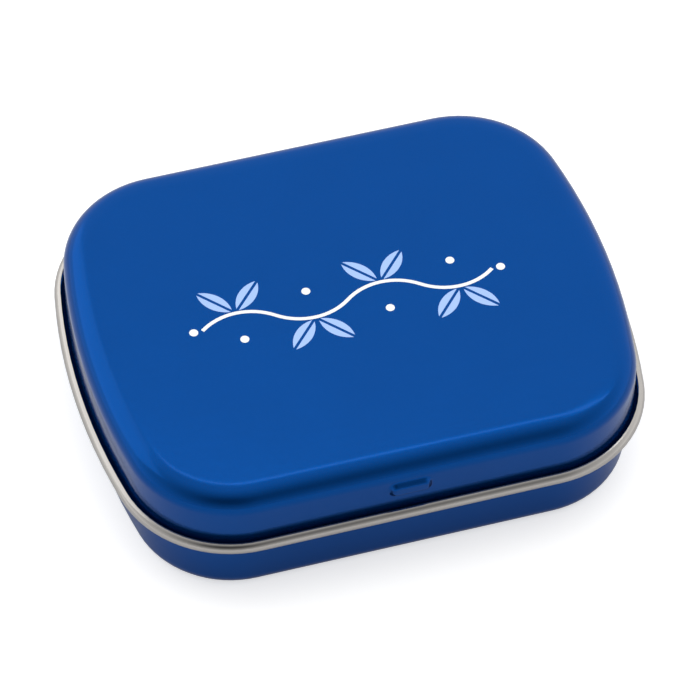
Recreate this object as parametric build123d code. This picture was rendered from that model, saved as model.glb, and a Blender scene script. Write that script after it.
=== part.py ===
from build123d import *
from math import acos, atan2, cos, degrees, hypot, pi, radians, sin
import os

# A hinged mint tin of drawn tinplate: a base, a lid with a bead round its foot, a hinge wire and the mints.
# Lengths are in millimetres. The origin is the middle of the underside, and the hinge is on the +Y side.

# The tin's outer sizes, taken over the lid's skirt and not over the bead
lid_length = 58.0
lid_depth = 46.8
tin_height = 15.4
corner_radius = 11.6
side_bow = 1.15
crown_radius = 8.0
crown_turn = 12
shoulder_radius = 2.0
foot_radius = 2.0
sheet = 0.25

# Every round of the sheet's section is drawn as small flats, about this deep inside the true round
flat_depth = 0.025

# The bead that is curled outwards round the lid's foot, its centre that far below the lid's top
bead_radius = 0.7
bead_drop = 6.8
bead_turn = 270

# The rim that is curled inwards round the base's mouth, that far below the lid's top
rim_drop = 1.6
rim_curl_radius = 0.55
rim_turn = 210

# The hinge: two tongues lanced from the base's rear wall and curled round a wire inside the lid's rear bead
knuckle_width = 5.0
knuckle_end_gap = 3.0
knuckle_turn = 240
tongue_bend_radius = 0.15
lance_height = 3.6
lance_clearance = 0.1
window_height = 0.85
wire_end_gap = 0.75

# The catch: a nib pressed out of the base's front wall, inside a pocket pressed out of the lid's front skirt
pocket_length = 4.8
pocket_tall = 2.2
pocket_depth = 0.5
pocket_slope = 0.65
pocket_corner_radius = 0.9
nib_clearance = 0.4
nib_depth = 0.2
nib_drop = 3.25

# The mints, as many as lie on the flat of the base's floor in staggered rows
mint_diameter = 12.0
mint_thickness = 4.0
mint_gap = 1.3
mint_stray_share = 0.2

# Clearances between the pieces
lid_clearance = 0.45
wire_clearance = 0.05
window_clearance = 0.3
overrun = 1.0

# Places that several pieces share
wall_inset = sheet + lid_clearance
rim_height = tin_height - rim_drop
bead_height = tin_height - bead_drop
nib_height = tin_height - nib_drop
bead_bore_radius = bead_radius - sheet
hinge_y = lid_depth / 2 + bead_bore_radius
wire_radius = bead_bore_radius - wire_clearance
corner_x = lid_length / 2 - corner_radius - side_bow
corner_y = lid_depth / 2 - corner_radius
bow_radius = (side_bow**2 + corner_y**2) / (2 * side_bow) + corner_radius
bow_x = lid_length / 2 - bow_radius
crown_run = (crown_radius - shoulder_radius) * sin(radians(crown_turn))
shoulder_height = tin_height - crown_radius + (crown_radius - shoulder_radius) * cos(radians(crown_turn))
bow_angle = atan2(corner_y, corner_x - bow_x)
wire_length = 2 * (corner_x - wire_end_gap)
knuckle_x = wire_length / 2 - knuckle_end_gap - knuckle_width / 2


def outline(offset):
    """The tin from above, with straight long sides and bowed short ones, that far outside the lid's skirt."""
    bow_end = Vector(bow_x + (bow_radius + offset) * cos(bow_angle), (bow_radius + offset) * sin(bow_angle))
    middle = (bow_angle + pi / 2) / 2
    corner = corner_radius + offset
    corner_middle = Vector(corner_x + corner * cos(middle), corner_y + corner * sin(middle))
    corner_end = Vector(corner_x, corner_y + corner)
    edges = []
    for side in (1, -1):
        tip = Vector(side * (lid_length / 2 + offset), 0)
        edges.append(ThreePointArc((side * bow_end.X, -bow_end.Y), tip, (side * bow_end.X, bow_end.Y)))
        edges.append(Line((-corner_end.X, side * corner_end.Y), (corner_end.X, side * corner_end.Y)))
        for end in (1, -1):
            points = [(side * p.X, end * p.Y) for p in (bow_end, corner_middle, corner_end)]
            edges.append(ThreePointArc(*points))
    return make_face(edges)


def around(section):
    """A section of the wall carried round the outline. It gives distances outside the lid's skirt, and heights."""
    section = upright(section)
    bow = revolve(Pos(bow_radius) * section, Axis.Z, 2 * degrees(bow_angle))
    corner = revolve(Pos(corner_radius) * section, Axis.Z, 90 - degrees(bow_angle))
    straight = Pos(corner_x, corner_y + corner_radius) * Rot(0, 0, 90) * extrude(section, 2 * corner_x, (0, 1, 0))
    ring = Part()
    for half in (0, 180):
        ring += Rot(0, 0, half) * straight
        ring += Rot(0, 0, half) * Pos(bow_x) * Rot(0, 0, -degrees(bow_angle)) * bow
        ring += Rot(0, 0, half) * Pos(corner_x, corner_y) * Rot(0, 0, degrees(bow_angle)) * corner
        ring += Rot(0, 0, half) * Pos(-corner_x, corner_y) * Rot(0, 0, 90) * corner
    return ring


def upright(points):
    """A face in the XZ plane inside points whose second coordinate is a height."""
    return Rot(90, 0, 0) * make_face(Polyline(*points, close=True))


def rolled(centre, radius, start, turn):
    """Points round a centre, from a starting angle through a turn, both in degrees. The points join small flats."""
    quarter_flats = max(1, round(pi / 4 / acos(1 - flat_depth / radius)))
    flats = max(2, round(quarter_flats * abs(turn) / 90))
    angles = [radians(start + turn * count / flats) for count in range(flats + 1)]
    return [(centre[0] + radius * cos(angle), centre[1] + radius * sin(angle)) for angle in angles]


def pressed(face_y, depth, inset=0):
    """What a punch pushes towards -Y out of a face in the front wall: a low form with sloping sides."""
    mouth = Plane((0, face_y, nib_height), x_dir=(1, 0, 0), z_dir=(0, -1, 0))
    slope = pocket_slope * depth / pocket_depth
    outlines = []
    for narrowing in (inset, inset + slope):
        outlines.append(
            RectangleRounded(
                pocket_length - 2 * narrowing,
                pocket_tall - 2 * narrowing,
                pocket_corner_radius - narrowing,
            )
        )
    return loft([mouth * outlines[0], mouth.offset(depth) * outlines[1]], ruled=True)


def lid():
    """The drawn lid in one sheet, with the bead round its foot, two hinge windows and the catch's pocket."""
    shoulder = (-shoulder_radius, shoulder_height)
    crown = (shoulder[0] - crown_run, tin_height - crown_radius)
    bead = (bead_bore_radius, bead_height)
    section = rolled(crown, crown_radius, 90, -crown_turn)
    section += rolled(shoulder, shoulder_radius, 90 - crown_turn, crown_turn - 90)
    section += rolled(bead, bead_bore_radius, 180, bead_turn)
    section += rolled(bead, bead_radius, 180 + bead_turn, -bead_turn)
    section += rolled(shoulder, shoulder_radius - sheet, 0, 90 - crown_turn)
    section += rolled(crown, crown_radius - sheet, 90 - crown_turn, crown_turn)
    shell = around(section)
    shell += Pos(0, 0, tin_height - sheet) * extrude(outline(crown[0]), sheet)
    front = -lid_depth / 2
    shell += pressed(front, pocket_depth)
    shell -= pressed(front + sheet, pocket_depth)
    window = Box(
        knuckle_width + 2 * window_clearance,
        bead_radius + bead_bore_radius + sheet + 2 * overrun,
        bead_radius + window_height + overrun,
        align=(Align.CENTER, Align.MAX, Align.MAX),
    )
    for side in (1, -1):
        place = Pos(side * knuckle_x, hinge_y + bead_radius + overrun, bead_height + window_height)
        shell -= place * window
    return shell


def tongue():
    """A tongue of the base's rear wall, bent out under the hinge wire and curled over it, at the origin."""
    wall_face = -(bead_bore_radius + wall_inset)
    bend_centre = (wall_face + tongue_bend_radius, -bead_radius - tongue_bend_radius)
    root = bend_centre[1] - tongue_bend_radius
    section = [(wall_face - sheet, root), (wall_face, root)]
    section += rolled(bend_centre, tongue_bend_radius, 180, -90)
    section += rolled((0, 0), bead_radius, -90, knuckle_turn)
    section += rolled((0, 0), bead_bore_radius, knuckle_turn - 90, -knuckle_turn)
    section += rolled(bend_centre, tongue_bend_radius + sheet, 90, 90)
    return Pos(-knuckle_width / 2) * Rot(0, 0, 90) * extrude(upright(section), knuckle_width, (0, -1, 0))


def base():
    """The drawn tub with its foot and its rim, rolled inwards until it closes on the wall."""
    foot = (-wall_inset - foot_radius, foot_radius)
    rim = (-wall_inset - rim_curl_radius, rim_height - rim_curl_radius)
    section = rolled(foot, foot_radius, -90, 90)
    section += rolled(rim, rim_curl_radius, 0, rim_turn)
    section.append((-wall_inset - sheet, rim[1] - rim_curl_radius))
    section += rolled(foot, foot_radius - sheet, 0, -90)
    shell = around(section)
    shell += extrude(outline(foot[0]), sheet)
    front = -lid_depth / 2 + wall_inset
    shell += pressed(front, nib_depth, nib_clearance)
    shell -= pressed(front + sheet, nib_depth, nib_clearance)
    root = bead_height - bead_radius - tongue_bend_radius
    lance = Box(
        knuckle_width + 2 * lance_clearance,
        sheet + 2 * overrun,
        lance_height,
        align=(Align.CENTER, Align.CENTER, Align.MIN),
    )
    for side in (1, -1):
        shell -= Pos(side * knuckle_x, lid_depth / 2 - wall_inset - sheet / 2, root) * lance
        shell += Pos(side * knuckle_x, hinge_y, bead_height) * tongue()
    return shell


def hinge_wire():
    """The steel wire that both tongues grip and on which the lid's rear bead turns."""
    return Pos(0, hinge_y, bead_height) * Rot(0, 90, 0) * Cylinder(wire_radius, wire_length)


def on_flat_floor(x, y):
    """Whether a mint in that place lies clear of the foot's curve."""
    edge = wall_inset + foot_radius + mint_diameter / 2
    if abs(x) > corner_x and abs(y) > corner_y:
        return hypot(abs(x) - corner_x, abs(y) - corner_y) <= corner_radius - edge
    return abs(y) <= lid_depth / 2 - edge and hypot(abs(x) - bow_x, y) <= bow_radius - edge


def mints():
    """Pressed round tablets, lying loose in staggered rows on the floor."""
    tablet = Cylinder(mint_diameter / 2, mint_thickness, align=(Align.CENTER, Align.CENTER, Align.MIN))
    pitch = mint_diameter + mint_gap
    stray = mint_gap * mint_stray_share
    rows = int(lid_depth // pitch)
    tablets = []
    for row in range(rows):
        columns = int(lid_length // pitch) - (row + 1) % 2
        for column in range(columns):
            count = len(tablets) + 1
            x = (column - (columns - 1) / 2) * pitch + stray * sin(7 * count)
            y = (row - (rows - 1) / 2) * pitch + stray * cos(11 * count)
            if on_flat_floor(x, y):
                tablets.append(Pos(x, y, sheet) * tablet)
    return Compound(children=tablets)


os.makedirs("parts", exist_ok=True)
for name, piece in {"base": base(), "lid": lid(), "hinge_wire": hinge_wire(), "mints": mints()}.items():
    export_step(piece, f"parts/{name}.step")
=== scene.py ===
from math import asin, atan2, cos, hypot, pi, radians, sin, tan

import bpy
from mathutils import Matrix, Vector


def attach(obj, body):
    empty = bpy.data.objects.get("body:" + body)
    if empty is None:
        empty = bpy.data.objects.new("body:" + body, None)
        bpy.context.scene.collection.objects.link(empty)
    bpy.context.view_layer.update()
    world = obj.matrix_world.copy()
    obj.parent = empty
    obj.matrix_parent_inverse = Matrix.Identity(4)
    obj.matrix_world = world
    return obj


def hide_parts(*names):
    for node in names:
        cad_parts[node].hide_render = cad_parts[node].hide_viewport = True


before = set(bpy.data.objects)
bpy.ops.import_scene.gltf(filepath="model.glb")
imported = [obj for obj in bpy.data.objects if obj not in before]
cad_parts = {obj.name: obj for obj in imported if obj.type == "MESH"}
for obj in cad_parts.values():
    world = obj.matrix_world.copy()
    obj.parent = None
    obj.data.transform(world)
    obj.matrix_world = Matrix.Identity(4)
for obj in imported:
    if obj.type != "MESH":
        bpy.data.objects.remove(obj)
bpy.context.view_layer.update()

mm = 0.001

# The base is a shallow tub, drawn from one sheet of tinplate that is painted blue on its outside only.
# Its mouth is rolled inwards to a smooth rim, and a nib is pressed out of its front wall for the catch.
# Two slots in its rear wall are left where the hinge's tongues were lanced out.
lid_length = 58.0 * mm
lid_depth = 46.8 * mm
tin_height = 15.4 * mm
corner_radius = 11.6 * mm
side_bow = 1.15 * mm
sheet = 0.25 * mm
lid_clearance = 0.45 * mm
wall_inset = sheet + lid_clearance
foot_radius = 2.0 * mm
rim_drop = 1.6 * mm
rim_curl_radius = 0.55 * mm
rim_turn = 280
nib_drop = 3.25 * mm
fine_step = 0.1 * mm
catch_zone_width = 6.0 * mm
catch_zone_low = 10.0 * mm
plain_steps = 4
corner_steps = 16
bow_steps = 12
same_place = 0.002 * mm
same_ring = 0.0005 * mm
sharp_turn = 35
rim_height = tin_height - rim_drop
catch_height = tin_height - nib_drop
corner_x = lid_length / 2 - corner_radius - side_bow
corner_y = lid_depth / 2 - corner_radius
bow_radius = (side_bow**2 + corner_y**2) / (2 * side_bow) + corner_radius
bow_x = lid_length / 2 - bow_radius
bow_angle = atan2(corner_y, corner_x - bow_x)


def start_sheet(name, x, y, height):
    """A new piece of sheet, which is one point so far."""
    bpy.ops.object.select_all(action="DESELECT")
    bpy.ops.mesh.primitive_plane_add(size=sheet, location=(x, y, height))
    bpy.ops.object.transform_apply(location=True, rotation=False, scale=False)
    piece = bpy.context.object
    piece.name = name
    bpy.ops.object.mode_set(mode="EDIT")
    bpy.ops.mesh.select_mode(type="VERT")
    bpy.ops.mesh.select_all(action="SELECT")
    bpy.ops.mesh.merge(type="CENTER")
    return piece


def draw_wall(rise, steps):
    """The section goes straight on, up or down."""
    bpy.ops.mesh.extrude_repeat(steps=steps, offset=(0, 0, rise / steps))


def roll_edge(x, y, height, turn, steps):
    """The section goes on round a centre. A positive turn leads from the underside to the front."""
    bpy.ops.mesh.spin(steps=steps, angle=radians(turn), center=(x, y, height), axis=(1, 0, 0))


def carry_round():
    """The whole section goes once round the tin, with fine steps across the middle of the long sides."""
    plain_step = (corner_x - catch_zone_width / 2) / plain_steps
    fine_steps = round(catch_zone_width / fine_step)
    corner_turn = pi / 2 - bow_angle
    bpy.ops.mesh.select_all(action="SELECT")
    for side in (1, -1):
        bpy.ops.mesh.extrude_repeat(steps=plain_steps, offset=(side * plain_step, 0, 0))
        bpy.ops.mesh.extrude_repeat(steps=fine_steps, offset=(side * fine_step, 0, 0))
        bpy.ops.mesh.extrude_repeat(steps=plain_steps, offset=(side * plain_step, 0, 0))
        for turn, steps, x, y in (
            (corner_turn, corner_steps, corner_x, -corner_y),
            (2 * bow_angle, bow_steps, bow_x, 0),
            (corner_turn, corner_steps, corner_x, corner_y),
        ):
            bpy.ops.mesh.spin(steps=steps, angle=turn, center=(side * x, side * y, 0), axis=(0, 0, -1))
    bpy.ops.mesh.select_all(action="SELECT")
    bpy.ops.mesh.remove_doubles(threshold=same_place)


def close_plate(piece, height):
    """Fills the section's inner edge with the flat plate, inside a narrow border."""
    bpy.ops.mesh.select_all(action="DESELECT")
    bpy.ops.object.mode_set(mode="OBJECT")
    for point in piece.data.vertices:
        point.select = abs(point.co.z - height) < same_ring
    bpy.ops.object.mode_set(mode="EDIT")
    bpy.ops.mesh.edge_face_add()
    bpy.ops.mesh.inset(thickness=2 * fine_step)


def press_out(piece, front, length, tall, corner, slope, depth):
    """Presses a low form with soft sloping sides forwards out of a front wall, round the catch's height."""
    bpy.ops.object.mode_set(mode="OBJECT")
    for point in piece.data.vertices:
        if abs(point.co.y - front) < same_place:
            reach_x = abs(point.co.x) - length / 2 + corner
            reach_z = abs(point.co.z - catch_height) - tall / 2 + corner
            from_middle = hypot(max(reach_x, 0), max(reach_z, 0)) + min(max(reach_x, reach_z), 0)
            share = min(max((corner - from_middle) / slope, 0), 1)
            point.co.y -= depth * share**2 * (3 - 2 * share)
    bpy.ops.object.mode_set(mode="EDIT")


def thicken(piece):
    """Gives the sheet its thickness, painted on its outer side and bare on the other and on its edges."""
    bpy.ops.mesh.select_all(action="SELECT")
    bpy.ops.mesh.normals_make_consistent(inside=False)
    bpy.ops.object.mode_set(mode="OBJECT")
    piece.data.materials.append(paint)
    piece.data.materials.append(tinplate)
    wall = piece.modifiers.new("sheet", "SOLIDIFY")
    wall.thickness = sheet
    wall.offset = -1
    wall.use_even_offset = True
    wall.material_offset = 1
    wall.material_offset_rim = 1
    bpy.ops.object.modifier_apply(modifier=wall.name)


def cut_slots(piece, width, low, high):
    """Cuts two slots at the knuckles through a piece's rear. Low and high each give a depth and a height."""
    for side in (1, -1):
        near = Vector((side * knuckle_x - width / 2, *low))
        far = Vector((side * knuckle_x + width / 2, *high))
        bpy.ops.mesh.primitive_cube_add(size=1, location=(near + far) / 2, scale=far - near)
        bpy.ops.object.transform_apply(location=True, rotation=False, scale=True)
        block = bpy.context.object
        bpy.context.view_layer.objects.active = piece
        slot = piece.modifiers.new("slot", "BOOLEAN")
        slot.object = block
        bpy.ops.object.modifier_apply(modifier=slot.name)
        bpy.data.objects.remove(block)


def smooth(piece):
    """Smooths the rounds of a piece and keeps its cut edges sharp."""
    bpy.ops.object.select_all(action="DESELECT")
    piece.select_set(True)
    bpy.context.view_layer.objects.active = piece
    bpy.ops.object.shade_smooth_by_angle(angle=radians(sharp_turn))


def new_effect(name, numbers, results):
    """A shader group with named numbers going in and named results coming out, and its two end nodes."""
    group = bpy.data.node_groups.new(name, "ShaderNodeTree")
    for number in numbers:
        group.interface.new_socket(number, in_out="INPUT", socket_type="NodeSocketFloat")
    for result in results:
        group.interface.new_socket(result, in_out="OUTPUT", socket_type="NodeSocketFloat")
    return group, group.nodes.new("NodeGroupInput"), group.nodes.new("NodeGroupOutput")


def add_noise(group, vector, scale, detail):
    """A noise in a group, which takes its place and its scale from the given sockets."""
    noise = group.nodes.new("ShaderNodeTexNoise")
    noise.inputs["Detail"].default_value = detail
    group.links.new(vector, noise.inputs["Vector"])
    group.links.new(scale, noise.inputs["Scale"])
    return noise.outputs["Fac"]


def spread_about(group, value, middle, spread):
    """Brings a noise of 0 to 1 to a middle value, give or take half a spread."""
    centred = group.nodes.new("ShaderNodeMath")
    centred.operation = "SUBTRACT"
    centred.inputs[1].default_value = 0.5
    group.links.new(value, centred.inputs[0])
    spreading = group.nodes.new("ShaderNodeMath")
    spreading.operation = "MULTIPLY_ADD"
    group.links.new(centred.outputs[0], spreading.inputs[0])
    group.links.new(spread, spreading.inputs[1])
    group.links.new(middle, spreading.inputs[2])
    return spreading.outputs[0]


# Rolling lines: the mill leaves fine lines along the length of the tinplate, which dull it a little unevenly
rolling_lines, lines_in, lines_out = new_effect(
    "rolling_lines",
    ("Lines Per Metre", "Middle", "Spread"),
    ("Roughness", "Height"),
)
lines_place = rolling_lines.nodes.new("ShaderNodeTexCoord")
lines_stretch = rolling_lines.nodes.new("ShaderNodeMapping")
lines_stretch.inputs["Scale"].default_value = (0.03, 1, 1)
rolling_lines.links.new(lines_place.outputs["Object"], lines_stretch.inputs["Vector"])
lines = add_noise(
    rolling_lines,
    lines_stretch.outputs["Vector"],
    lines_in.outputs["Lines Per Metre"],
    detail=3,
)
dulled = spread_about(rolling_lines, lines, lines_in.outputs["Middle"], lines_in.outputs["Spread"])
rolling_lines.links.new(dulled, lines_out.inputs["Roughness"])
rolling_lines.links.new(lines, lines_out.inputs["Height"])

# Mottle: soft clouds a few millimetres wide, in which a finish is slightly lighter or darker
mottle, mottle_in, mottle_out = new_effect("mottle", ("Clouds Per Metre", "Spread"), ("Brightness",))
mottle_place = mottle.nodes.new("ShaderNodeTexCoord")
clouds = add_noise(
    mottle,
    mottle_place.outputs["Object"],
    mottle_in.outputs["Clouds Per Metre"],
    detail=4,
)
even = mottle.nodes.new("ShaderNodeValue")
even.outputs[0].default_value = 1
brightness = spread_about(mottle, clouds, even.outputs[0], mottle_in.outputs["Spread"])
mottle.links.new(brightness, mottle_out.inputs["Brightness"])


def new_finish(name, colour, metallic, roughness):
    """A material with its shader, nodes and links, and plain values set on the shader's own sockets."""
    material = bpy.data.materials.new(name)
    material.use_nodes = True
    nodes = material.node_tree.nodes
    shader = nodes["Principled BSDF"]
    shader.inputs["Base Color"].default_value = colour
    shader.inputs["Metallic"].default_value = metallic
    shader.inputs["Roughness"].default_value = roughness
    return material, shader, nodes, material.node_tree.links


def add_effect(nodes, group, **numbers):
    """Places an effect in a material, with its own numbers."""
    effect = nodes.new("ShaderNodeGroup")
    effect.node_tree = group
    for socket, number in numbers.items():
        effect.inputs[socket.replace("_", " ")].default_value = number
    return effect


def add_mottle(nodes, links, shader, colour, clouds_per_metre, spread):
    """The finish's colour, made a little uneven in soft clouds."""
    effect = add_effect(nodes, mottle, Clouds_Per_Metre=clouds_per_metre, Spread=spread)
    scaled = nodes.new("ShaderNodeVectorMath")
    scaled.operation = "SCALE"
    scaled.inputs[0].default_value = colour[:3]
    links.new(effect.outputs["Brightness"], scaled.inputs["Scale"])
    links.new(scaled.outputs["Vector"], shader.inputs["Base Color"])


def add_bump(nodes, links, shader, height, depth):
    """Relief of a given depth in metres, which follows a height of 0 to 1."""
    bump = nodes.new("ShaderNodeBump")
    bump.inputs["Distance"].default_value = depth
    links.new(height, bump.inputs["Height"])
    links.new(bump.outputs["Normal"], shader.inputs["Normal"])


# Blue paint: a satin coat over the sheet, with the faint orange peel of a stoved finish
paint_blue = (0.0002, 0.063, 0.29, 1)
paint_dull = 0.17
paint, paint_shader, paint_nodes, paint_links = new_finish(
    "blue_paint",
    paint_blue,
    metallic=0.8,
    roughness=paint_dull,
)
paint_shader.inputs["Specular IOR Level"].default_value = 0.0
paint_shader.inputs["Coat Weight"].default_value = 0.2
paint_shader.inputs["Coat Roughness"].default_value = 0.04
paint_shader.inputs["Coat IOR"].default_value = 1.35
add_mottle(paint_nodes, paint_links, paint_shader, paint_blue, clouds_per_metre=160, spread=0.08)
paint_lines = add_effect(paint_nodes, rolling_lines, Lines_Per_Metre=3000, Middle=paint_dull, Spread=0.06)
paint_links.new(paint_lines.outputs["Roughness"], paint_shader.inputs["Roughness"])
peel_place = paint_nodes.new("ShaderNodeTexCoord")
peel = paint_nodes.new("ShaderNodeTexNoise")
peel.inputs["Scale"].default_value = 900
peel.inputs["Detail"].default_value = 1
paint_links.new(peel_place.outputs["Object"], peel.inputs["Vector"])
add_bump(paint_nodes, paint_links, paint_shader, peel.outputs["Fac"], depth=0.004 * mm)

# Bare tinplate: the sheet's inner side, bright and a little warm, with its rolling lines and faint stains
tin_silver = (0.46, 0.44, 0.42, 1)
tin_dull = 0.16
tinplate, tin_shader, tin_nodes, tin_links = new_finish(
    "bare_tinplate",
    tin_silver,
    metallic=1,
    roughness=tin_dull,
)
add_mottle(tin_nodes, tin_links, tin_shader, tin_silver, clouds_per_metre=220, spread=0.18)
tin_lines = add_effect(tin_nodes, rolling_lines, Lines_Per_Metre=4500, Middle=tin_dull, Spread=0.12)
tin_links.new(tin_lines.outputs["Roughness"], tin_shader.inputs["Roughness"])
add_bump(tin_nodes, tin_links, tin_shader, tin_lines.outputs["Height"], depth=0.003 * mm)

# Hinge and catch: the sizes that the base shares with its tongues and with the lid
knuckle_width = 5.0 * mm
knuckle_x = 10.0 * mm
bead_radius = 0.7 * mm
bead_bore_radius = bead_radius - sheet
bead_drop = 6.8 * mm
bead_height = tin_height - bead_drop
tongue_bend_radius = 0.15 * mm
lance_height = 3.6 * mm
lance_clearance = 0.1 * mm
overrun = 1.0 * mm
base_front = -lid_depth / 2 + wall_inset
tongue_root = bead_height - bead_radius - tongue_bend_radius
nib_length = 4.0 * mm
nib_tall = 1.4 * mm
nib_corner_radius = 0.5 * mm
nib_slope = 0.26 * mm
nib_depth = 0.2 * mm

# The tub: a section from the floor's edge up to the curled rim, carried once round
rim_centre = rim_height - rim_curl_radius
foot_steps = 12
wall_steps = 4
rim_steps = 28
base = start_sheet("base_tub", -corner_x, base_front + foot_radius, 0)
roll_edge(-corner_x, base_front + foot_radius, foot_radius, 90, foot_steps)
draw_wall(catch_zone_low - foot_radius, wall_steps)
draw_wall(rim_centre - catch_zone_low, round((rim_centre - catch_zone_low) / fine_step))
roll_edge(-corner_x, base_front + rim_curl_radius, rim_centre, rim_turn, rim_steps)
carry_round()
close_plate(base, 0)
press_out(base, base_front, nib_length, nib_tall, nib_corner_radius, nib_slope, nib_depth)
thicken(base)
cut_slots(
    base,
    knuckle_width + 2 * lance_clearance,
    (-base_front - sheet - overrun, tongue_root),
    (-base_front + overrun, tongue_root + lance_height),
)
smooth(base)
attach(base, "base")
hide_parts("base")

# The hinge's tongues are strips of the base's own sheet, lanced from its rear wall and curled round the wire.
# The strip bends out of the wall at its root, so its painted side turns outwards with it.
hinge_y = lid_depth / 2 + bead_bore_radius
knuckle_turn = 240
knuckle_steps = 24
bend_steps = 4
tongue_steps = 5
tongue_x = -knuckle_x - knuckle_width / 2
bend_y = -base_front + tongue_bend_radius
left_tongue = start_sheet("hinge_tongue_left", tongue_x, -base_front, tongue_root)
roll_edge(tongue_x, bend_y, tongue_root, 90, bend_steps)
bpy.ops.mesh.extrude_repeat(steps=1, offset=(0, hinge_y - bend_y, 0))
roll_edge(tongue_x, hinge_y, bead_height, -knuckle_turn, knuckle_steps)
bpy.ops.mesh.select_all(action="SELECT")
bpy.ops.mesh.extrude_repeat(steps=tongue_steps, offset=(knuckle_width / tongue_steps, 0, 0))
thicken(left_tongue)
smooth(left_tongue)
bpy.ops.object.duplicate()
right_tongue = bpy.context.object
right_tongue.name = "hinge_tongue_right"
right_tongue.location.x = 2 * knuckle_x
bpy.ops.object.transform_apply(location=True, rotation=False, scale=False)
for tongue in (left_tongue, right_tongue):
    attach(tongue, "base")

# The hinge wire is bright steel, drawn through a die, which leaves fine lines along it, and cut to length.
# The tongues grip it and the lid's rear bead turns on it.
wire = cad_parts["hinge_wire"]
steel_grey = (0.55, 0.55, 0.56, 1)
steel_dull = 0.3
steel, steel_shader, steel_nodes, steel_links = new_finish(
    "wire_steel",
    steel_grey,
    metallic=1,
    roughness=steel_dull,
)
add_mottle(steel_nodes, steel_links, steel_shader, steel_grey, clouds_per_metre=700, spread=0.2)
steel_lines = add_effect(steel_nodes, rolling_lines, Lines_Per_Metre=9000, Middle=steel_dull, Spread=0.2)
steel_links.new(steel_lines.outputs["Roughness"], steel_shader.inputs["Roughness"])
add_bump(steel_nodes, steel_links, steel_shader, steel_lines.outputs["Height"], depth=0.004 * mm)
wire.data.materials.clear()
wire.data.materials.append(steel)

# The mints are white tablets, pressed from sugar powder with a low dome on both faces, so they have a fine
# grain and a faint mottle. They lie loose in staggered rows on the base's floor.
mint_diameter = 12.0 * mm
mint_thickness = 4.0 * mm
mint_dome = 0.5 * mm
mint_shoulder = 1.6 * mm
mint_edge = 0.35 * mm
mint_sides = 72
mint_edge_steps = 4
mint_edge_turn = 10
mint_gap = 1.3 * mm
mint_stray = 0.2 * mint_gap
mint_rows = (3, 4, 3)
sugar_white = (0.86, 0.86, 0.83, 1)
sugar, sugar_shader, sugar_nodes, sugar_links = new_finish(
    "mint_sugar",
    sugar_white,
    metallic=0,
    roughness=0.75,
)
sugar_shader.inputs["Specular IOR Level"].default_value = 0.35
add_mottle(sugar_nodes, sugar_links, sugar_shader, sugar_white, clouds_per_metre=1800, spread=0.16)
grain_place = sugar_nodes.new("ShaderNodeTexCoord")
grain = sugar_nodes.new("ShaderNodeTexNoise")
grain.inputs["Scale"].default_value = 4000
grain.inputs["Detail"].default_value = 3
sugar_links.new(grain_place.outputs["Object"], grain.inputs["Vector"])
add_bump(sugar_nodes, sugar_links, sugar_shader, grain.outputs["Fac"], depth=0.05 * mm)

# One tablet: a disc whose two faces rise to low domes, with every edge rounded
bpy.ops.object.select_all(action="DESELECT")
bpy.ops.mesh.primitive_cylinder_add(
    vertices=mint_sides,
    radius=mint_diameter / 2,
    depth=mint_thickness - 2 * mint_dome,
    location=(0, 0, sheet + mint_thickness / 2),
)
bpy.ops.object.transform_apply(location=True, rotation=False, scale=False)
tablet = bpy.context.object
bpy.ops.object.mode_set(mode="EDIT")
bpy.ops.mesh.select_mode(type="FACE")
bpy.ops.mesh.select_all(action="DESELECT")
bpy.ops.object.mode_set(mode="OBJECT")
for face in tablet.data.polygons:
    face.select = round(abs(face.normal.z)) == 1
bpy.ops.object.mode_set(mode="EDIT")
bpy.ops.mesh.inset(thickness=mint_shoulder, depth=mint_dome)
bpy.ops.object.mode_set(mode="OBJECT")
edge = tablet.modifiers.new("edge", "BEVEL")
edge.width = mint_edge
edge.segments = mint_edge_steps
edge.limit_method = "ANGLE"
edge.angle_limit = radians(mint_edge_turn)
bpy.ops.object.modifier_apply(modifier=edge.name)
smooth(tablet)
tablet.data.materials.append(sugar)

# The rows: copies of the tablet, each a little out of its place
pitch = mint_diameter + mint_gap
mints = []
for row, columns in enumerate(mint_rows):
    for column in range(columns):
        count = len(mints) + 1
        bpy.ops.object.select_all(action="DESELECT")
        tablet.select_set(True)
        bpy.context.view_layer.objects.active = tablet
        bpy.ops.object.duplicate()
        mint = bpy.context.object
        mint.name = f"mint_{count}"
        mint.location = (
            (column - (columns - 1) / 2) * pitch + mint_stray * sin(7 * count),
            (row - 1) * pitch + mint_stray * cos(11 * count),
            0,
        )
        bpy.ops.object.transform_apply(location=True, rotation=False, scale=False)
        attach(mint, "base")
        mints.append(mint)
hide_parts("mints")
bpy.data.objects.remove(tablet)

# The lid is drawn from the same sheet. Its foot is curled outwards, which turns the sheet's bare side out
# as a silver bead that turns on the wire at the rear, where two windows clear the knuckles.
# A pocket pressed out of its front skirt snaps over the base's nib.
crease_radius = 6.5 * mm
margin_tilt = 7
margin_width = 0.25 * mm
shoulder_radius = 2.0 * mm
bead_turn = 270
window_clearance = 0.3 * mm
window_height = 0.85 * mm
pocket_length = 4.8 * mm
pocket_tall = 2.2 * mm
pocket_corner_radius = 0.9 * mm
pocket_slope = 0.65 * mm
pocket_depth = 0.5 * mm
crease_steps = 3
margin_steps = 3
shoulder_steps = 13
bead_steps = 30
lid_front = -lid_depth / 2
tilt = radians(margin_tilt)
margin_fall = margin_width * tan(tilt)
crease_centre = tin_height - crease_radius
skirt_top = crease_centre - margin_fall + (crease_radius - shoulder_radius) * cos(tilt)
margin_end = lid_front + shoulder_radius * (1 - sin(tilt))
plate_edge = margin_end + margin_width + crease_radius * sin(tilt)
lid = start_sheet("lid_shell", -corner_x, plate_edge, tin_height)
roll_edge(-corner_x, plate_edge, crease_centre, -margin_tilt, crease_steps)
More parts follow.
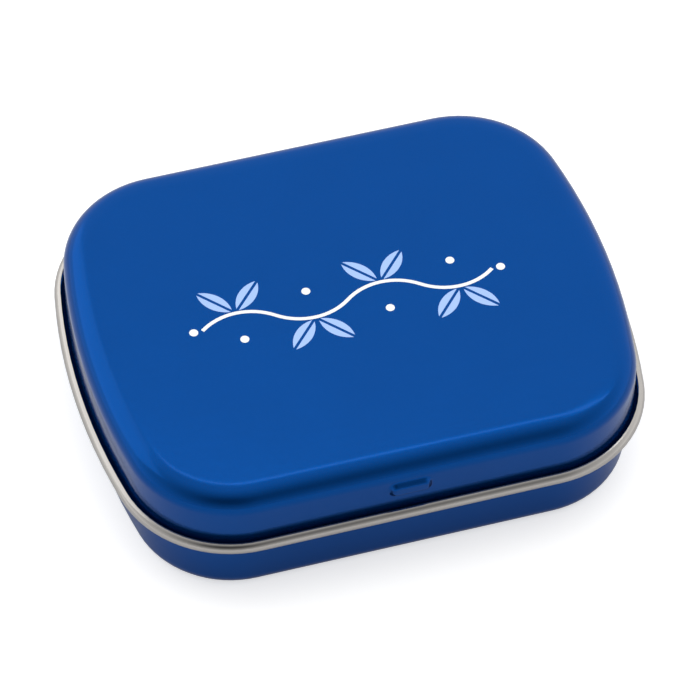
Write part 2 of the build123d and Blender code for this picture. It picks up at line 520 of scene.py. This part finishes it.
bpy.ops.mesh.extrude_repeat(
    steps=margin_steps,
    offset=(0, -margin_width / margin_steps, -margin_fall / margin_steps),
)
roll_edge(-corner_x, lid_front + shoulder_radius, skirt_top, margin_tilt - 90, shoulder_steps)
draw_wall(bead_height - skirt_top, round((skirt_top - bead_height) / fine_step))
roll_edge(-corner_x, lid_front - bead_bore_radius, bead_height, bead_turn, bead_steps)
carry_round()
close_plate(lid, tin_height)
press_out(lid, lid_front, pocket_length, pocket_tall, pocket_corner_radius, pocket_slope, pocket_depth)
thicken(lid)
cut_slots(
    lid,
    knuckle_width + 2 * window_clearance,
    (-lid_front - sheet - overrun, bead_height - bead_radius - overrun),
    (-lid_front + bead_bore_radius + bead_radius + overrun, bead_height + window_height),
)
smooth(lid)
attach(lid, "lid")
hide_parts("lid")

# The lid carries a small ornament, printed on the paint in white and pale blue: a wavy stem with split leaves
# and round berries. Each colour is one thin film of ink, laid on before the sheet was drawn into shape.
ink_film = 0.012 * mm
ink_white = (0.96, 0.96, 0.96, 1)
ink_pale = (0.38, 0.56, 0.98, 1)
ink_dull = 0.35
ink_top = tin_height + ink_film
wave_length = 8.0 * mm
wave_height = 1.4 * mm
stem_width = 0.42 * mm
leaf_length = 4.4 * mm
leaf_width = 1.9 * mm
leaf_vein = 0.22 * mm
leaf_stalk = 0.5 * mm
leaf_lean = 48
berry_radius = 0.48 * mm
berry_reach = 2.3 * mm
stem_steps = 16
fewest_sides = 3
leaf_sides = 160
berry_sides = 40
wave_radius = ((wave_length / 2) ** 2 + wave_height**2) / (2 * wave_height)
wave_turn = 2 * asin(wave_length / 2 / wave_radius)


def ink_disc(x, y, radius, sides):
    """A flat disc of ink on the lid's plate."""
    bpy.ops.object.select_all(action="DESELECT")
    bpy.ops.mesh.primitive_circle_add(
        vertices=sides,
        radius=radius,
        fill_type="NGON",
        location=(x, y, ink_top),
    )
    bpy.ops.object.transform_apply(location=True, rotation=False, scale=False)
    return bpy.context.object


def ink_arc(x, y, radius, width, start, turn):
    """A curved stroke of ink round a centre, from a starting angle through a turn."""
    stroke = ink_disc(x, y, radius, fewest_sides)
    bpy.ops.object.mode_set(mode="EDIT")
    bpy.ops.mesh.select_mode(type="VERT")
    bpy.ops.mesh.select_all(action="SELECT")
    bpy.ops.mesh.merge(type="CENTER")
    outward = Vector((cos(start), sin(start), 0))
    bpy.ops.transform.translate(value=outward * (radius - width / 2))
    bpy.ops.mesh.extrude_repeat(steps=1, offset=outward * width)
    bpy.ops.mesh.select_all(action="SELECT")
    bpy.ops.mesh.spin(steps=stem_steps, angle=-turn, center=(x, y, ink_top), axis=(0, 0, 1))
    bpy.ops.object.mode_set(mode="OBJECT")
    return stroke


def ink_leaf(root, angle):
    """A pointed leaf in two halves with a bare vein between them. Each half is a disc that the vein cuts."""
    along = Vector((cos(angle), sin(angle), 0))
    across = Vector((-sin(angle), cos(angle), 0))
    middle = root + along * (leaf_stalk + leaf_length / 2)
    half_width = (leaf_width - leaf_vein) / 2
    edge_radius = ((leaf_length / 2) ** 2 + half_width**2) / (2 * half_width)
    halves = []
    for side in (1, -1):
        cut = middle + across * side * leaf_vein / 2
        centre = cut - across * side * (edge_radius - half_width)
        half = ink_disc(centre.x, centre.y, edge_radius, leaf_sides)
        bpy.ops.object.mode_set(mode="EDIT")
        bpy.ops.mesh.select_all(action="SELECT")
        bpy.ops.mesh.bisect(
            plane_co=cut + Vector((0, 0, ink_top)),
            plane_no=across * side,
            clear_inner=True,
        )
        bpy.ops.object.mode_set(mode="OBJECT")
        halves.append(half)
    return halves


def print_ink(name, pieces, ink):
    """Joins shapes of one colour to one film of ink, and lays it on the lid."""
    bpy.ops.object.select_all(action="DESELECT")
    for piece in pieces:
        piece.select_set(True)
    bpy.context.view_layer.objects.active = pieces[0]
    bpy.ops.object.join()
    film = bpy.context.object
    film.name = name
    bpy.ops.object.mode_set(mode="EDIT")
    bpy.ops.mesh.select_all(action="SELECT")
    bpy.ops.mesh.remove_doubles(threshold=ink_film)
    bpy.ops.mesh.normals_make_consistent(inside=False)
    bpy.ops.object.mode_set(mode="OBJECT")
    if film.data.polygons[0].normal.z < 0:
        film.data.flip_normals()
    thickness = film.modifiers.new("film", "SOLIDIFY")
    thickness.thickness = ink_film
    thickness.offset = -1
    bpy.ops.object.modifier_apply(modifier=thickness.name)
    film.data.materials.append(ink)
    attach(film, "lid")


def new_ink(name, colour):
    """Opaque printing ink, a little duller than the paint under it."""
    ink, shader, nodes, links = new_finish(name, colour, metallic=0, roughness=ink_dull)
    add_mottle(nodes, links, shader, colour, clouds_per_metre=500, spread=0.05)
    ink_lines = add_effect(nodes, rolling_lines, Lines_Per_Metre=3000, Middle=ink_dull, Spread=0.1)
    links.new(ink_lines.outputs["Roughness"], shader.inputs["Roughness"])
    return ink


# The ornament: four waves of stem, each with two leaves at its crest and a berry across from it
stem = []
berries = []
leaves = []
for wave in range(4):
    side = 1 if wave % 2 == 0 else -1
    wave_x = (wave - 1.5) * wave_length
    centre_y = -side * (wave_radius - wave_height)
    start = pi / 2 * side + wave_turn / 2
    stem.append(ink_arc(wave_x, centre_y, wave_radius, stem_width, start, -wave_turn))
    crest = Vector((wave_x, side * wave_height, 0))
    leaves += ink_leaf(crest, side * radians(leaf_lean))
    leaves += ink_leaf(crest, side * radians(180 - leaf_lean))
    berries.append(ink_disc(wave_x, -side * berry_reach, berry_radius, berry_sides))
for side in (1, -1):
    berries.append(ink_disc(side * (2 * wave_length + 2 * berry_radius), 0, berry_radius, berry_sides))
print_ink("print_white", stem + berries, new_ink("white_ink", ink_white))
print_ink("print_pale", leaves, new_ink("pale_blue_ink", ink_pale))

# The tin stands on a large sheet of matt white paper, a hair below its underside.
# The paper glows a little towards the camera, so that it looks white and still keeps the tin's shadow.
floor_gap = 0.02 * mm
floor_size = 3.0
floor_white = (0.7, 0.7, 0.7, 1)
floor_glow = 0.6
mirrored_share = 0.15
bpy.ops.object.select_all(action="DESELECT")
bpy.ops.mesh.primitive_plane_add(size=floor_size, location=(0, 0, -floor_gap))
bpy.ops.object.transform_apply(location=True, rotation=False, scale=False)
floor = bpy.context.object
floor.name = "floor"
paper, paper_shader, paper_nodes, paper_links = new_finish(
    "floor_paper",
    floor_white,
    metallic=0,
    roughness=0.9,
)
paper_shader.inputs["Specular IOR Level"].default_value = 0.0
paper_shader.inputs["Emission Color"].default_value = (1, 1, 1, 1)
ray = paper_nodes.new("ShaderNodeLightPath")
mirrored = paper_nodes.new("ShaderNodeMath")
mirrored.operation = "MAXIMUM"
paper_links.new(ray.outputs["Is Glossy Ray"], mirrored.inputs[0])
paper_links.new(ray.outputs["Is Transmission Ray"], mirrored.inputs[1])
seen = paper_nodes.new("ShaderNodeMath")
seen.operation = "MULTIPLY_ADD"
seen.inputs[1].default_value = mirrored_share
paper_links.new(mirrored.outputs[0], seen.inputs[0])
paper_links.new(ray.outputs["Is Camera Ray"], seen.inputs[2])
glow = paper_nodes.new("ShaderNodeMath")
glow.operation = "MULTIPLY"
glow.inputs[1].default_value = floor_glow
paper_links.new(seen.outputs[0], glow.inputs[0])
paper_links.new(glow.outputs[0], paper_shader.inputs["Emission Strength"])
floor.data.materials.append(paper)

# Round the tin hangs a tent of white cloth, bright behind it and at its sides.
# It is dark round the opening that the camera looks through.
tent_strength = 1.12
opening_azimuth = radians(-17)
opening_elevation = radians(48)
# The cloth's grey at each nearness to the middle of the opening, which is at 1
tent_greys = ((0.1, 1.0), (0.7, 0.55), (0.9, 0.3), (0.99, 0.08))
world = bpy.data.worlds.new("studio")
bpy.context.scene.world = world
world.use_nodes = True
sky_nodes = world.node_tree.nodes
sky_links = world.node_tree.links
sky = sky_nodes["Background"]
sky.inputs["Strength"].default_value = tent_strength
direction = sky_nodes.new("ShaderNodeTexCoord")
opening = sky_nodes.new("ShaderNodeVectorMath")
opening.operation = "DOT_PRODUCT"
opening.inputs[1].default_value = (
    sin(opening_azimuth) * cos(opening_elevation),
    -cos(opening_azimuth) * cos(opening_elevation),
    sin(opening_elevation),
)
tent = sky_nodes.new("ShaderNodeValToRGB")
stops = tent.color_ramp.elements
for nearness, grey in tent_greys[1:-1]:
    stops.new(nearness)
for stop, (nearness, grey) in zip(stops, tent_greys):
    stop.position = nearness
    stop.color = (grey, grey, grey, 1)
sky_links.new(direction.outputs["Generated"], opening.inputs[0])
sky_links.new(opening.outputs["Value"], tent.inputs["Fac"])
sky_links.new(tent.outputs["Color"], sky.inputs["Color"])

# Two softboxes stand behind the tin: a thin one draws the light line along the lid's crease, and a broad one
# lights the left edge. A third hangs overhead and lights the inside when the lid is open.
softbox_distance = 0.7
fill_height = 0.8
fill_size = 0.8
fill_power = 2.5


def hang_softbox(name, azimuth, elevation, width, height, power):
    """A softbox that looks at the tin from behind. The azimuth runs from the back towards the right."""
    azimuth = radians(azimuth)
    elevation = radians(elevation)
    place = softbox_distance * Vector((
        sin(azimuth) * cos(elevation),
        cos(azimuth) * cos(elevation),
        sin(elevation),
    ))
    bpy.ops.object.light_add(type="AREA", location=place)
    softbox = bpy.context.object
    softbox.name = name
    softbox.rotation_euler = place.to_track_quat("Z", "Y").to_euler()
    softbox.data.shape = "RECTANGLE"
    softbox.data.size = width
    softbox.data.size_y = height
    softbox.data.energy = power


hang_softbox("rear_strip", azimuth=37, elevation=60.5, width=0.42, height=0.04, power=0.095)
hang_softbox("left_softbox", azimuth=-39, elevation=42, width=0.6, height=0.5, power=0.5)
bpy.ops.object.light_add(type="AREA", location=(0, 0, fill_height))
fill = bpy.context.object
fill.name = "overhead_fill"
fill.data.size = fill_size
fill.data.energy = fill_power
fill.visible_glossy = False

# The camera stands in front of the catch, a little to the left, and looks down through a long lens.
# It is rolled by a degree, and then moved a little to the right and down in its own picture.
camera_azimuth = radians(-16.997)
camera_elevation = radians(50.77)
camera_roll = radians(0.985)
camera_distance = 548.75 * mm
camera_right = 0.292 * mm
camera_up = -0.518 * mm
aim_height = 7.733 * mm
lens_length = 262.997
sensor_width = 36.0
nearest_sight = 0.01
back = Vector((
    sin(camera_azimuth) * cos(camera_elevation),
    -cos(camera_azimuth) * cos(camera_elevation),
    sin(camera_elevation),
))
right = Vector((cos(camera_azimuth), sin(camera_azimuth), 0))
up = back.cross(right)
rolled_right = cos(camera_roll) * right + sin(camera_roll) * up
rolled_up = cos(camera_roll) * up - sin(camera_roll) * right
bpy.ops.object.camera_add()
camera = bpy.context.object
camera.data.lens = lens_length
camera.data.sensor_width = sensor_width
camera.data.clip_start = nearest_sight
aim = Vector((0, 0, aim_height))
camera.location = aim + back * camera_distance + rolled_right * camera_right + rolled_up * camera_up
camera.rotation_euler = Matrix((rolled_right, rolled_up, back)).transposed().to_euler()
bpy.context.scene.camera = camera
bpy.context.scene.view_settings.view_transform = "Standard"
